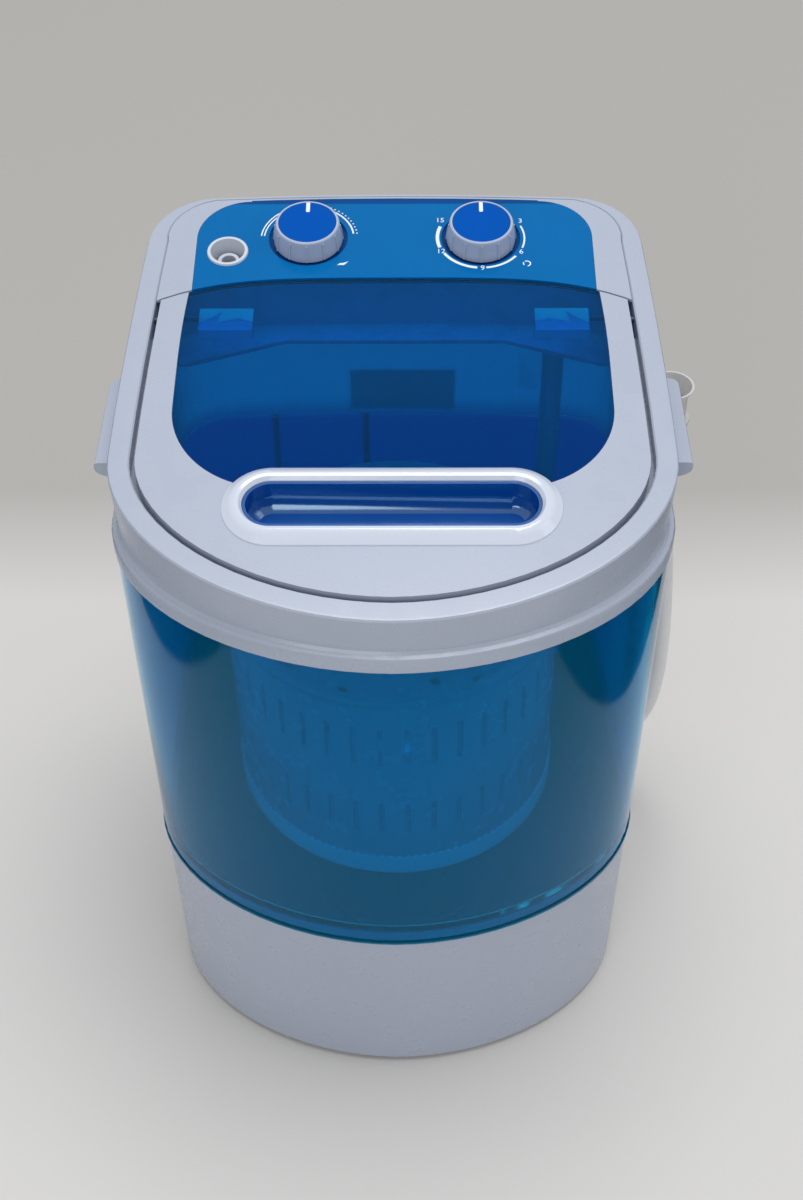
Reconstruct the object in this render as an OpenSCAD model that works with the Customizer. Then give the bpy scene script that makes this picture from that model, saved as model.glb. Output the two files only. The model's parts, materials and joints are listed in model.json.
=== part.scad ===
// Small portable top-load washing machine: one translucent tub on a white motor base,
// a sloping white deck with a hinged see-through lid, and a console with two knobs.
// Z is up, the origin is on the floor under the middle, and the front faces -Y.

/* [Body] */
// Width of the machine across its rim
body_w = 363; // [350:1:376]
// Depth of the machine at its rim, front to back
body_d = 371.6; // [362:0.2:384]
// Depth of the rounded front, from the widest line forward
front_d = 127.4; // [122:0.2:133]
// Squareness of the rounded front, where 2 is an ellipse
front_n = 1.9; // [1.85:0.05:2.1]
// How far each side draws in towards the back
side_draw = 8; // [6:0.5:10]
// Radius of the two rear corners
corner_r = 50; // [46:1:54]
// How far the back wall bows out at its middle
rear_bow = 3.5; // [2:0.5:5]
// Thickness of the moulded walls
wall = 3; // [2.6:0.1:3.2]

/* [Base] */
// Height of the rubber feet below the base wall
foot_proud = 3; // [2:0.5:5]
// Radius of a rubber foot
foot_r = 14; // [10:1:18]
// Height of the joint between base and tub above the floor
base_top = 167; // [164:1:172]
// Inset of the base wall from the rim at its foot
base_draw = 7; // [6.6:0.1:7.4]
// Height of the bottom cover above the base wall's edge
cover_up = 3; // [2:0.5:4]
// Thickness of the bottom cover
cover_t = 2.5; // [2:0.5:3]

/* [Tub] */
// Inset of the tub wall from the rim at its foot
tub_draw = 3.8; // [3.6:0.1:4.2]
// Thickness of the tub floor
floor_t = 3; // [2.5:0.5:4]
// Height of the tub floor's underside above the base joint
floor_up = 11; // [11:1:14]
// Radius of the drain port in the tub floor
port_r = 7; // [5:0.5:7.5]

/* [Deck] */
// Height of the rim's lower edge above the floor
rim_z = 457; // [450:1:462]
// Height of the rim band, up to its rounded lip
rim_h = 11; // [9:1:12]
// Height of the deck's front edge above the rim's lower edge
deck_up = 41.7; // [38:0.1:47]
// Slope of the deck, lid and console, rising to the back
tilt = 9; // [8.5:0.1:9.5]
// Width of the white band around the lid
band_w = 14; // [12:0.5:15]
// Width of the band behind the console
band_rear_w = 2.8; // [2.4:0.2:3.4]
// Gap around the lid
lid_gap = 3.4; // [2.6:0.2:4]
// Depth of the lid's seat below the deck
seat_drop = 12; // [11:0.5:14]
// Height of the console floor above the rim's lower edge
shelf_up = 40.5; // [37:0.5:42]

/* [Lid] */
// Distance from the back to the seam between lid and console, at its middle
seam_back = 87.2; // [85.8:0.2:88.8]
// How far the seam curves forward at the lid's sides
seam_curve = 21.5; // [19:0.5:23]
// Gap at the seam
seam_gap = 1.5; // [1.4:0.1:2]
// Distance from the seam forward to the hinge line
hinge_back = 31; // [29.6:0.2:32.6]
// Depth of the hinge line below the lid's top
hinge_drop = 7; // [6.8:0.1:7.2]
// Radius of the hinge pins
hinge_pin_r = 2.2; // [1.8:0.1:2.4]
// Width of the lid's frame beside the window
window_side = 20; // [18:1:27]
// Radius of the window's front corners
window_r = 66; // [56:1:70]
// How far the window draws in at the seam
window_draw = 4; // [0:0.5:6]
// Distance from the machine's front to the window's front edge
window_in = 102.4; // [97.8:0.2:104.8]
// Thickness of the lid's plate
lid_t = 3; // [2.6:0.1:3.2]

/* [Lid handle] */
// Distance from the machine's front to the middle of the finger recess
grip_in = 87.8; // [86.8:0.2:90.8]
// Half length of the recess between its round ends
grip_hl = 74; // [60:1:80]
// Radius of the recess's round ends
grip_r = 17.6; // [16:0.2:19]
// Radius of the bezel's round ends
bezel_r = 30.5; // [28:0.5:33]
// Height of the bezel above the lid
bezel_h = 6.4; // [4:0.2:8]
// Depth of the finger recess
grip_depth = 19; // [15:1:24]

/* [Console] */
// Distance from the machine's side to the edge of the blue control panel
panel_side = 45; // [43.5:0.5:49.5]
// Radius of the panel's rear corners
panel_r = 36; // [30:1:40]
// Thickness of the control panel
panel_t = 3.5; // [3:0.1:4]
// Distance from the panel's edge to each knob's axis
knob_in = 76.9; // [72.5:0.2:81.5]
// Distance from the back to the line of the two knobs
knob_back = 47.8; // [45.8:0.5:49.8]
// Radius of a knob at its top
knob_r = 21.7; // [19:0.1:23]
// Height of a knob above the panel
knob_h = 14.4; // [12:0.2:20]
// Number of finger ribs round a knob
knob_ribs = 12; // [10:1:20]
// Radius of a knob's shaft
knob_shaft_r = 3; // [2.5:0.1:3.5]
// Distance from the panel's left edge to the water inlet
inlet_in = 22; // [19.5:0.5:26.5]
// Distance from the back to the water inlet
inlet_back = 61.2; // [57.8:0.2:65.8]
// Radius of the water inlet's cup
inlet_cup_r = 12.8; // [12:0.1:14]
// Radius of the water inlet's bore
inlet_bore_r = 5; // [4:0.1:6]

/* [Carry handles] */
// Distance of a handle's outer face beyond the rim
handle_out = 10.5; // [8.5:0.5:14.5]
// Front end of the handles
handle_y1 = -40.4; // [-50:0.2:-36]
// Rear end of the handles
handle_y2 = 47; // [42:0.5:50]
// Height of the handles' top face above the rim's lip
handle_up = 30; // [27:0.5:34]
// Depth of a handle's outer lip
handle_lip = 5; // [4:0.5:7]
// Depth of a handle's ends at the deck's wall
handle_drop = 12.5; // [11:0.5:14]
// Thickness of the handle's shell
handle_t = 3.5; // [3:0.5:4]

/* [Drive] */
// Distance from the back to the basket's axis
axis_back = 197.8; // [195.8:0.5:199.8]
// Outer radius of the spin basket
basket_r = 118; // [112:1:122]
// Height of the spin basket
basket_h = 188; // [175:1:200]
// Thickness of the basket's wall
basket_t = 2.5; // [2:0.1:3]
// Height of the closed ring at the basket's foot
basket_ring_h = 19; // [16:1:22]
// Slots in each row round the basket
basket_slots = 40; // [24:2:48]
// Width of a basket slot
slot_w = 4; // [3:0.5:5]
// Gap between the basket and the tub floor
basket_gap = 3; // [2:0.5:4]
// Height of the basket's floor above its foot
basket_floor_up = 30; // [28:1:34]
// Radius of the drive shaft
shaft_r = 6; // [5:0.5:7]
// Radius of the pulsator
pulsator_r = 100; // [92:1:106]
// Number of vanes on the pulsator
pulsator_vanes = 4; // [3:1:6]
// Distance from the drive shaft back to the motor
motor_back = 118; // [114:1:120]
// Radius of the motor
motor_r = 48; // [44:1:50]
// Height of the motor's body
motor_h = 78; // [70:1:84]
// Radius of the motor shaft
rotor_r = 5; // [4:0.5:6]
// Inner radius of the belt on the driven pulley
belt_r1 = 64.3; // [58:0.1:68]
// Inner radius of the belt on the motor pulley
belt_r2 = 15.8; // [14:0.1:18]
// Thickness of the belt
belt_t = 5; // [4:0.5:6]
// Width of the belt
belt_w = 9; // [8:0.5:10]
// Height of the belt's middle above the floor
belt_z = 36; // [34:0.5:38]

/* [Drain] */
// Radius of the drain hose
hose_r = 10.5; // [9:0.5:10.5]
// Outer radius of the outlet's spigot
spigot_r = 9.5; // [9:0.1:10]
// Thickness of the spigot's wall
spigot_t = 2.5; // [2:0.1:3]
// Radius of the cuff at the hose's free end
cuff_r = 12.4; // [11.6:0.1:12.6]

/* [Clearances] */
// Radial running clearance of shafts and pins
run = 0.05; // [0.03:0.01:0.08]
// Gap between fixed pieces that nest
nest = 0.2; // [0.1:0.05:0.3]
// Gap under pieces that rest at a stop
rest = 0.3; // [0.2:0.05:0.3]

/* [Hidden] */

$fn = 64;
far = 300;

// Colours of the mouldings
white = [0.80, 0.84, 0.92];
clear_blue = [0.04, 0.36, 0.62, 0.6];
knob_blue = [0.0, 0.35, 0.85];
rubber = [0.12, 0.12, 0.13];
steel = [0.62, 0.63, 0.65];
dark_metal = [0.25, 0.27, 0.30];

// ---- Plan of the body: the rim's outline as a ring of points, anticlockwise from the front

front_steps = 18;
side_steps = 5;
corner_steps = 7;
rear_steps = 3;
side_power = 1.6;
front_y = -body_d / 2;
rear_y = body_d / 2;
wide_y = front_y + front_d;
half_w = body_w / 2;
side_run = body_d - front_d - corner_r;
side_lean = atan(side_draw * side_power / side_run);
rear_lean = atan(2 * rear_bow / (half_w - side_draw - corner_r));
side_end_y = rear_y - rear_bow - corner_r * cos(rear_lean) + corner_r * sin(side_lean);
corner_x = half_w - side_draw - corner_r * cos(side_lean);
corner_y = side_end_y - corner_r * sin(side_lean);
rear_x = corner_x + corner_r * sin(rear_lean);

// Places that follow from the sizes above
deck_in = 3.1;
groove_in = deck_in + band_w;
lid_in = groove_in + lid_gap;
deck_front_z = rim_z + deck_up;
shelf_z = rim_z + shelf_up;
seam_y = rear_y - seam_back;
hinge_y = seam_y - hinge_back;
window_hw = half_w - lid_in - window_side;
window_front_y = front_y + window_in;
grip_y = front_y + grip_in;
panel_hw = half_w - panel_side;
knob_x = panel_hw - knob_in;
knob_y = rear_y - knob_back;
inlet_x = panel_hw - inlet_in;
inlet_y = rear_y - inlet_back;
handle_reach = half_w + handle_out;
handle_z = rim_z + rim_h + handle_up;
axis_y = rear_y - axis_back;

function front_point(t) = [half_w * pow(sin(t), 2 / front_n), wide_y - front_d * pow(cos(t), 2 / front_n)];
function side_point(u) = [half_w - side_draw * pow(u, side_power), wide_y + u * (side_end_y - wide_y)];
function corner_point(u) = let (a = side_lean + u * (90 - rear_lean - side_lean))
    [corner_x + corner_r * cos(a), corner_y + corner_r * sin(a)];
function rear_point(u) = let (x = rear_x * (1 - u)) [x, rear_y - rear_bow * pow(x / rear_x, 2)];

half_plan = concat(
    [for (i = [0:front_steps]) front_point(90 * i / front_steps)],
    [for (i = [1:side_steps]) side_point(i / side_steps)],
    [for (i = [1:corner_steps]) corner_point(i / corner_steps)],
    [for (i = [1:rear_steps]) rear_point(i / rear_steps)]);
half_n = len(half_plan);
plan = concat(half_plan, [for (i = [half_n - 2:-1:1]) [-half_plan[i].x, half_plan[i].y]]);
plan_n = len(plan);

// Share of the rear inset at each point: none on front and sides, all of it on the back
half_rear = concat(
    [for (i = [0:front_steps + side_steps]) 0],
    [for (i = [1:corner_steps]) i / corner_steps],
    [for (i = [1:rear_steps]) 1]);
rear_share = concat(half_rear, [for (i = [half_n - 2:-1:1]) half_rear[i]]);

function outward(i) = let (d = plan[(i + 1) % plan_n] - plan[(i + plan_n - 1) % plan_n])
    [d.y, -d.x] / norm(d);
function inset_point(i, d, d_rear) =
    plan[i] - outward(i) * (d + (d_rear - d) * rear_share[i]);

// Height of the sloping deck above the floor at a distance from the front
deck_y = front_y + deck_in;
function deck_top(y) = deck_front_z + tan(tilt) * (y - deck_y);

// A level ring at height z, and a ring that follows the deck at dz below or above it
function ring(d, z) = [for (i = [0:plan_n - 1]) let (p = inset_point(i, d, d)) [p.x, p.y, z]];
function deck_ring(d, dz, d_rear) = [for (i = [0:plan_n - 1])
    let (p = inset_point(i, d, d_rear)) [p.x, p.y, deck_top(p.y) + dz]];

// Faces between one ring and the next
function band_faces(a, b) = [for (i = [0:plan_n - 1]) let (j = (i + 1) % plan_n)
    each [[a + i, b + i, b + j], [a + i, b + j, a + j]]];

// A solid through a list of rings, closed by a flat face at each end
module skin(rings) {
    n = len(rings);
    polyhedron(
        points = [for (r = rings) each r],
        faces = concat(
            [[for (i = [0:plan_n - 1]) i]],
            [for (k = [0:n - 2]) each band_faces(k * plan_n, (k + 1) * plan_n)],
            [[for (i = [plan_n - 1:-1:0]) (n - 1) * plan_n + i]]),
        convexity = 8);
}

// A wall whose section is a closed loop of rings
module sleeve(rings) {
    n = len(rings);
    polyhedron(
        points = [for (r = rings) each r],
        faces = [for (k = [0:n - 1]) each band_faces(k * plan_n, ((k + 1) % n) * plan_n)],
        convexity = 8);
}

// The plan as a flat shape, inset by d, or by d_rear along the back
module outline(d, d_rear) {
    polygon([for (i = [0:plan_n - 1]) inset_point(i, d, d_rear)]);
}

// ---- Placement on the sloping deck

// Carries its children onto the deck, with their Z square to it
module on_deck(x, y) {
    translate([x, y, deck_top(y)]) rotate([tilt, 0, 0]) children();
}

// Everything between two planes parallel to the deck, lo and hi above it
module deck_layer(lo, hi) {
    translate([0, deck_y, deck_front_z]) rotate([tilt, 0, 0])
        translate([-far, -far, lo]) cube([2 * far, 4 * far, hi - lo]);
}

// An upright prism of the flat children, cut to a layer of the deck
module deck_slab(lo, hi) {
    intersection() {
        translate([0, 0, deck_front_z - 80]) linear_extrude(220) children();
        deck_layer(lo, hi);
    }
}

// ---- Values shared by several pieces

groove_rear_in = deck_in + band_rear_w;
wall_in = 5;
spigot_in = tub_draw + wall + 0.5;
tub_foot_z = base_top;
floor_z = base_top + floor_up;
floor_top = floor_z + floor_t;
tub_rim_z = rim_z + 7;
rim_wall = 2.9;
tub_in_top = rim_wall + 0.3;
shelf_top = shelf_z + wall;
tub_top_in = 5.8;

function seam_at(x) = seam_y - seam_curve * pow(abs(x) / (half_w - lid_in - 1), 4);
seam_steps = 16;
seam_half = half_w + 10;
// Everything in front of the seam, or behind it when side is 1, at distance d from it
module seam_side(d, side) {
    polygon(concat(
        [for (i = [-seam_steps:seam_steps]) let (x = seam_half * i / seam_steps)
            [x, max(seam_at(x), -20) + d]],
        [[seam_half, side * 2 * far], [-seam_half, side * 2 * far]]));
}

hinge_z = deck_top(hinge_y) - hinge_drop / cos(tilt);

basket_z = floor_top + basket_gap;
basket_floor_z = basket_z + basket_floor_up;
basket_floor_t = 3;
hub_r = 12;
motor_y = axis_y + motor_back;
plate_t = 3;
post_h = 34;
plate_top = floor_z - post_h;
plate_z = plate_top - plate_t;
motor_z = plate_z - motor_h;
cover_z = foot_proud + cover_up;
cover_top = cover_z + cover_t;
pulley_w = belt_w + 9;
post_r = 6;
bolt_r = 2.5;

// ---- Base

foot_x = half_w - 73.5;
foot_front_y = front_y + 77.8;
foot_rear_y = rear_y - 67.8;
module each_foot() {
    for (sx = [-1, 1], y = [foot_front_y, foot_rear_y]) translate([sx * foot_x, y, 0]) children();
}

boss_r = 6;
boss_h = 30;
screw_r = 1.9;
boss_front = [half_w - 63.5, front_y + 63.8];
boss_rear = [half_w - 34.5, rear_y - 37.8];
module each_boss() {
    for (sx = [-1, 1], p = [boss_front, boss_rear]) translate([sx * p.x, p.y, 0]) children();
}

// Solid inside the outer face of the base wall, grown outward by gap
module base_core(gap) {
    skin([ring(base_draw + 2 - gap, foot_proud), ring(base_draw - gap, foot_proud + 3),
        ring(tub_draw + 0.8 - gap, base_top)]);
}

// Route of the drain hose: out of the outlet, up the right side, into the clip
hose_route = [
    [181, 108, 54], [190.7, 107.3, 65.3], [198.5, 106, 78], [204.3, 104, 92], [208, 101.5, 106.5],
    [210, 98.5, 122], [210.9, 95, 142], [210.9, 91.5, 164], [210.2, 88, 186], [209, 84.5, 208],
    [207.4, 81, 231], [205.4, 78, 255], [203.2, 75.5, 279], [200.8, 73.5, 303], [198.4, 72, 327],
    [196.2, 70.8, 351], [194.3, 70, 375], [192.8, 69.6, 398], [192, 69.6, 420], [191.8, 69.6, 441]];

outlet_mouth = hose_route[0];
outlet_y = outlet_mouth.y;
outlet_turn = 45;
hole_reach = 45;
module on_outlet() {
    translate(outlet_mouth) rotate([0, outlet_turn, 0]) children();
}

gland_x = 69.5 - half_w;
gland_z = 40;
gland_r = 8;
gland_y = rear_y - base_draw;
vent_w = 4;
vent_h = 46;
vent_pitch = 10;

module base_housing() {
    color(white) difference() {
        union() {
            sleeve([
                ring(base_draw + 2, foot_proud),
                ring(base_draw, foot_proud + 3),
                ring(tub_draw + 0.8, base_top),
                ring(spigot_in, base_top),
                ring(spigot_in + 0.2, floor_z - rest),
                ring(spigot_in + wall, floor_z - rest),
                ring(spigot_in + wall - 0.5, base_top - 4),
                ring(tub_draw + 0.8 + wall, base_top - 9),
                ring(base_draw + wall, foot_proud + 6),
                ring(base_draw + wall + 0.8, foot_proud)]);
            intersection() {
                for (sx = [0, 1], p = [boss_front, boss_rear]) mirror([sx, 0, 0])
                    translate([p.x, p.y, cover_top]) base_boss(sign(p.y));
                linear_extrude(base_top) outline(base_draw + wall / 2, base_draw + wall / 2);
            }
        }
        each_boss() translate([0, 0, cover_top - 1]) cylinder(r = screw_r, h = 14);
        on_outlet() translate([0, 0, -hole_reach]) cylinder(r = spigot_r + nest, h = hole_reach);
        translate([gland_x, gland_y, gland_z]) rotate([90, 0, 0])
            cylinder(r = gland_r + nest, h = 30, center = true);
        for (i = [-4:4]) translate([i * vent_pitch + 30, rear_y - 30, 60])
            cube([vent_w, 40, vent_h]);
    }
}

// A screw boss with two ribs that run out into the wall, one of them to the front or the back
module base_boss(side) {
    cylinder(r = boss_r, h = boss_h);
    for (a = [0, 90 * side]) rotate([0, 0, a]) translate([0, -wall / 2, 0])
        cube([far / 10 + 6, wall, boss_h]);
}

cap_at = [-92, axis_y + 110];
cap_r = 20;
cap_h = 62;
slot_pitch = 12;
module bottom_cover() {
    color(white) difference() {
        union() {
            translate([0, 0, cover_z]) linear_extrude(cover_t)
                outline(base_draw + wall + 1.2, base_draw + wall + 1.2);
            translate([cap_at.x, cap_at.y, cover_top - 0.5]) cylinder(r = cap_r + 3, h = 12);
        }
        translate([cap_at.x, cap_at.y, cover_top]) cylinder(r = cap_r + nest, h = 20);
        each_boss() translate([0, 0, cover_z - 1]) cylinder(r = screw_r + 0.3, h = 10);
        for (i = [-5:5]) translate([i * slot_pitch - 2, 30, cover_z - 1]) cube([4, 70, 10]);
        for (i = [-5:5]) translate([i * slot_pitch - 2, -100, cover_z - 1]) cube([4, 60, 10]);
    }
}

module rubber_feet() {
    color(rubber) each_foot() rotate_extrude()
        polygon([[0, 0], [foot_r - 1.5, 0], [foot_r, 1.5], [foot_r - 1, cover_z], [0, cover_z]]);
}

module cover_screws() {
    color(steel) each_boss() translate([0, 0, cover_z]) {
        translate([0, 0, -2]) cylinder(r = 3.6, h = 2);
        cylinder(r = screw_r - run, h = cover_t + 10);
    }
}

// ---- Tub

port_at = [118, outlet_y];
conduit_at = [half_w - 64.5, rear_y - 29.8];
conduit_r = 8;
housing_spigot_r = 14;
module tub_shell() {
    color(clear_blue) difference() {
        union() {
            skin([
                ring(tub_draw + wall, floor_z),
                ring(tub_draw + wall, tub_foot_z),
                ring(tub_draw - 0.9, tub_foot_z),
                ring(tub_draw - 0.9, tub_foot_z + 3),
                ring(tub_draw, tub_foot_z + 4.5),
                ring(tub_in_top - 1.9, rim_z - 1.5),
                ring(tub_in_top, rim_z - 0.5),
                ring(tub_in_top, tub_rim_z),
                ring(tub_top_in, tub_rim_z),
                ring(tub_top_in, rim_z - 3),
                ring(tub_draw + wall, floor_top + 9),
                ring(tub_draw + wall + 2.2, floor_top + 3),
                ring(tub_draw + wall + 7, floor_top)]);
            translate([port_at.x, port_at.y, floor_z - 12]) cylinder(r = spigot_r, h = 13);
        }
        translate([0, axis_y, floor_z - 5]) cylinder(r = housing_spigot_r + nest, h = 20);
        translate([port_at.x, port_at.y, floor_z - 20]) cylinder(r = port_r, h = 40);
        translate([conduit_at.x, conduit_at.y, floor_z - 5]) cylinder(r = conduit_r + nest, h = 20);
    }
}

module drain_strainer() {
    color(white) translate([port_at.x, port_at.y, floor_top]) difference() {
        rotate_extrude() polygon([[0, 2.5], [14, 1.6], [19, 0], [22, 0], [22, 1], [15, 4], [0, 5]]);
        for (r = [6, 12], a = [0:45:315]) rotate([0, 0, a + r * 3]) translate([r, 0, -1])
            cylinder(r = 1.6, h = 8, $fn = 12);
    }
}

// ---- Deck

// Solid inside the outer face of the deck wall, grown outward by gap
module deck_core(gap) {
    skin([ring(-gap, rim_z - 20), ring(-gap, rim_z + rim_h - 2), ring(wall_in - gap, rim_z + rim_h + 3),
        ring(wall_in - gap, rim_z + rim_h + 12), deck_ring(deck_in + 0.2 - gap, -5, deck_in + 0.2 - gap),
        deck_ring(deck_in - gap, 8, deck_in - gap)]);
}

well_y = hinge_y - 12;
shelf_side_y = hinge_y - 9;
shelf_mid_y = hinge_y + 16.9;
shelf_mid_hw = window_hw - 66;
shelf_side_x = window_hw - 1;
module top_deck() {
    color(white) difference() {
        union() {
            sleeve([
                ring(0, rim_z),
                ring(0, rim_z + rim_h - 2),
                ring(1, rim_z + rim_h),
                ring(3.4, rim_z + rim_h + 1),
                ring(wall_in - 0.2, rim_z + rim_h + 3),
                ring(wall_in, rim_z + rim_h + 12),
                deck_ring(deck_in + 0.2, -5, deck_in + 0.2),
                deck_ring(deck_in, -1.6, deck_in),
                deck_ring(deck_in + 0.7, -0.3, deck_in + 0.4),
                deck_ring(deck_in + 2, 0, deck_in + 1),
                deck_ring(groove_in - 1, 0, groove_rear_in - 0.5),
                deck_ring(groove_in, -1, groove_rear_in),
                deck_ring(groove_in, -seat_drop, groove_rear_in),
                deck_ring(groove_in + 10, -seat_drop, wall_in + wall + 1),
                deck_ring(groove_in + 10, -seat_drop - wall, wall_in + wall + 1),
                deck_ring(wall_in + wall, -seat_drop - wall, wall_in + wall),
                ring(wall_in + wall, rim_z + rim_h + 8),
                ring(tub_top_in + 0.4, tub_rim_z + 3),
                ring(tub_top_in + 0.4, tub_rim_z),
                ring(rim_wall, tub_rim_z),
                ring(rim_wall, rim_z)]);
            translate([0, 0, shelf_z]) linear_extrude(wall) intersection() {
                outline(wall_in + wall - 0.8, wall_in + wall - 0.8);
                polygon([[-shelf_mid_hw, shelf_mid_y], [shelf_mid_hw, shelf_mid_y],
                    [shelf_side_x, shelf_side_y], [far, shelf_side_y], [far, far], [-far, far],
                    [-far, shelf_side_y], [-shelf_side_x, shelf_side_y]]);
            }
        }
        translate([0, 0, shelf_top]) linear_extrude(far) intersection() {
            outline(groove_in, groove_rear_in);
            translate([-far, well_y]) square([2 * far, far]);
        }
        on_hinge() for (sx = [-1, 1]) rotate([0, 90 * sx, 0])
            cylinder(r = hinge_pin_r + run, h = hinge_out + 0.5);
        translate([-inlet_x, inlet_y, shelf_z - 5]) cylinder(r = duct_r + nest, h = 20);
        translate([conduit_at.x, conduit_at.y, shelf_z - 5]) cylinder(r = conduit_r + nest, h = 20);
    }
}

hinge_out = half_w - groove_in + 4;
module on_hinge() {
    translate([0, hinge_y, hinge_z]) children();
}

// ---- Carry handles

// The right handle: a rounded lip along the side wall, open below for the fingers
module carry_handle() {
    root_x = handle_reach - 30;
    under_r = 16;
    difference() {
        intersection() {
            translate([0, handle_y2, 0]) rotate([90, 0, 0]) linear_extrude(handle_y2 - handle_y1)
                polygon(concat([[root_x, handle_z - handle_drop], [root_x, handle_z],
                    [handle_reach - 2.5, handle_z], [handle_reach - 0.7, handle_z - 0.8],
                    [handle_reach, handle_z - 2.5]],
                    [for (a = [0:15:90]) [handle_reach - under_r + under_r * cos(a),
                        handle_z - handle_lip - (handle_drop - handle_lip) * sin(a)]]));
            translate([0, 0, handle_z - 50]) linear_extrude(60) handle_plan(8);
        }
        translate([0, handle_y1 + handle_t, handle_z - handle_drop - 1])
            cube([handle_reach - handle_t, handle_y2 - handle_y1 - 2 * handle_t,
                handle_drop + 1 - handle_t]);
        deck_core(nest / 2);
    }
}

// The handle's plan, with a round corner of radius r at the rear
module handle_plan(r) {
    length = handle_y2 - handle_y1;
    translate([0, handle_y1]) square([handle_reach, length - r]);
    translate([0, handle_y1]) square([handle_reach - r, length]);
    translate([handle_reach - r, handle_y2 - r]) circle(r = r);
}

module carry_handle_right() {
    color(white) carry_handle();
}

module carry_handle_left() {
    color(white) mirror([1, 0, 0]) carry_handle();
}

// ---- Console

panel_rear_in = groove_rear_in + 1.8;
module panel_shape(gap) {
    intersection() {
        outline(groove_in + 0.4, panel_rear_in + gap);
        seam_side(seam_gap / 2, 1);
        translate([-panel_hw + gap, 0]) square([2 * (panel_hw - gap), far]);
        union() {
            translate([-panel_hw + panel_r, 0]) square([2 * (panel_hw - panel_r), far]);
            translate([-far, -far]) square([2 * far, far + rear_y - panel_corner_in]);
            for (sx = [-1, 1]) translate([sx * (panel_hw - panel_r), rear_y - panel_corner_in])
                circle(r = panel_r - gap);
        }
    }
}

panel_corner_in = groove_rear_in + 5 + panel_r;
front_wall_back = 5;
edge_t = 2;
well_r = 27.2;
well_deep = 2;
bush_r = 6;
module each_knob() {
    for (sx = [-1, 1]) on_deck(sx * knob_x, knob_y) children();
}

module console_surround() {
    color(white) difference() {
        intersection() {
            translate([0, 0, shelf_top]) linear_extrude(far) intersection() {
                outline(groove_in + 0.4, groove_rear_in + 0.4);
                seam_side(seam_gap / 2, 1);
            }
            deck_layer(-far, 0);
        }
        deck_slab(-panel_t, 5) panel_shape(0);
        translate([0, 0, shelf_top - 1]) intersection() {
            linear_extrude(far) intersection() {
                outline(groove_in + 0.4 + wall, groove_rear_in + 0.4 + wall);
                seam_side(seam_gap / 2 + front_wall_back + wall, 1);
            }
            translate([0, 0, -shelf_top + 1]) deck_layer(-far, -panel_t - 2.5);
        }
        intersection() {
            translate([0, 0, shelf_top - 1]) linear_extrude(far)
                seam_side(seam_gap / 2 + front_wall_back, -1);
            deck_layer(-far, -edge_t);
        }
        each_knob() translate([0, 0, -20]) cylinder(r = bush_r + nest, h = 30);
        on_deck(-inlet_x, inlet_y) translate([0, 0, -20]) cylinder(r = inlet_cup_r + nest, h = 30);
    }
}

module control_panel() {
    color(clear_blue) difference() {
        deck_slab(-panel_t, 0) panel_shape(nest);
        intersection() {
            translate([0, 0, shelf_top]) linear_extrude(far)
                seam_side(seam_gap / 2 + front_wall_back, -1);
            deck_layer(-far, -edge_t);
        }
        each_knob() {
            translate([0, 0, -well_deep]) cylinder(r = well_r, h = 10);
            translate([0, 0, -10]) cylinder(r = bush_r + nest, h = 20);
        }
        on_deck(-inlet_x, inlet_y) translate([0, 0, -20]) cylinder(r = inlet_cup_r + nest, h = 30);
    }
}

inlet_depth = 20;
nozzle_r = 8;
nozzle_up = 12;
duct_r = 9;
module water_inlet() {
    color(white) on_deck(-inlet_x, inlet_y) rotate_extrude() polygon([
        [inlet_cup_r + 1.4, 0], [inlet_cup_r + 1, 1.2], [inlet_cup_r - 1, 1.2],
        [inlet_cup_r - 3, -inlet_depth + 2], [nozzle_r, -inlet_depth + 2],
        [nozzle_r - 0.6, -inlet_depth + nozzle_up], [inlet_bore_r, -inlet_depth + nozzle_up],
        [inlet_bore_r, -inlet_depth - 2], [nozzle_r, -inlet_depth - 2],
        [inlet_cup_r - 1.2, -inlet_depth + 1], [inlet_cup_r, -2], [inlet_cup_r, 0]]);
}

// A tube from below the inlet down through the console floor
module inlet_duct() {
    top_z = deck_top(inlet_y) - inlet_depth - 4;
    color(white) translate([-inlet_x, inlet_y, 0]) rotate_extrude() polygon([
        [duct_r - 1.6, shelf_z - 8], [duct_r, shelf_z - 8], [duct_r, shelf_top],
        [duct_r + 3, shelf_top], [duct_r + 3, shelf_top + 2], [duct_r, shelf_top + 2],
        [duct_r, top_z], [duct_r - 1.6, top_z]]);
}

unit_top = -panel_t - 2.5;
unit_w = 46;
unit_d = 40;
timer_h = 24;
switch_h = 18;
// A clockwork timer or rotary switch below the panel, with a bushing for its shaft
module control_unit(x, h) {
    on_deck(x, knob_y) difference() {
        union() {
            translate([-unit_w / 2, -unit_d / 2, unit_top - h]) cube([unit_w, unit_d, h]);
            translate([0, 0, unit_top - 1]) cylinder(r = bush_r, h = panel_t + 2.5 - well_deep + 0.8);
            for (i = [-1, 0, 1]) translate([i * 12 - 3, -1, unit_top - h - 7]) cube([6, 1, 8]);
        }
        translate([0, 0, unit_top - h + 3]) cylinder(r = knob_shaft_r + run, h = far);
    }
}

module timer_unit() {
    color(dark_metal) control_unit(knob_x, timer_h);
}

module program_switch() {
    color([0.85, 0.83, 0.76]) control_unit(-knob_x, switch_h);
}

knob_foot = -well_deep + 1;
knob_flare = 2;
rib_w = 1.1;
rib_out = 0.8;
rib_lean = atan((knob_flare - 0.4) / (knob_h - 4 - knob_foot));
insert_r = knob_r - 1.9;
insert_t = 2.2;
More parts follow.
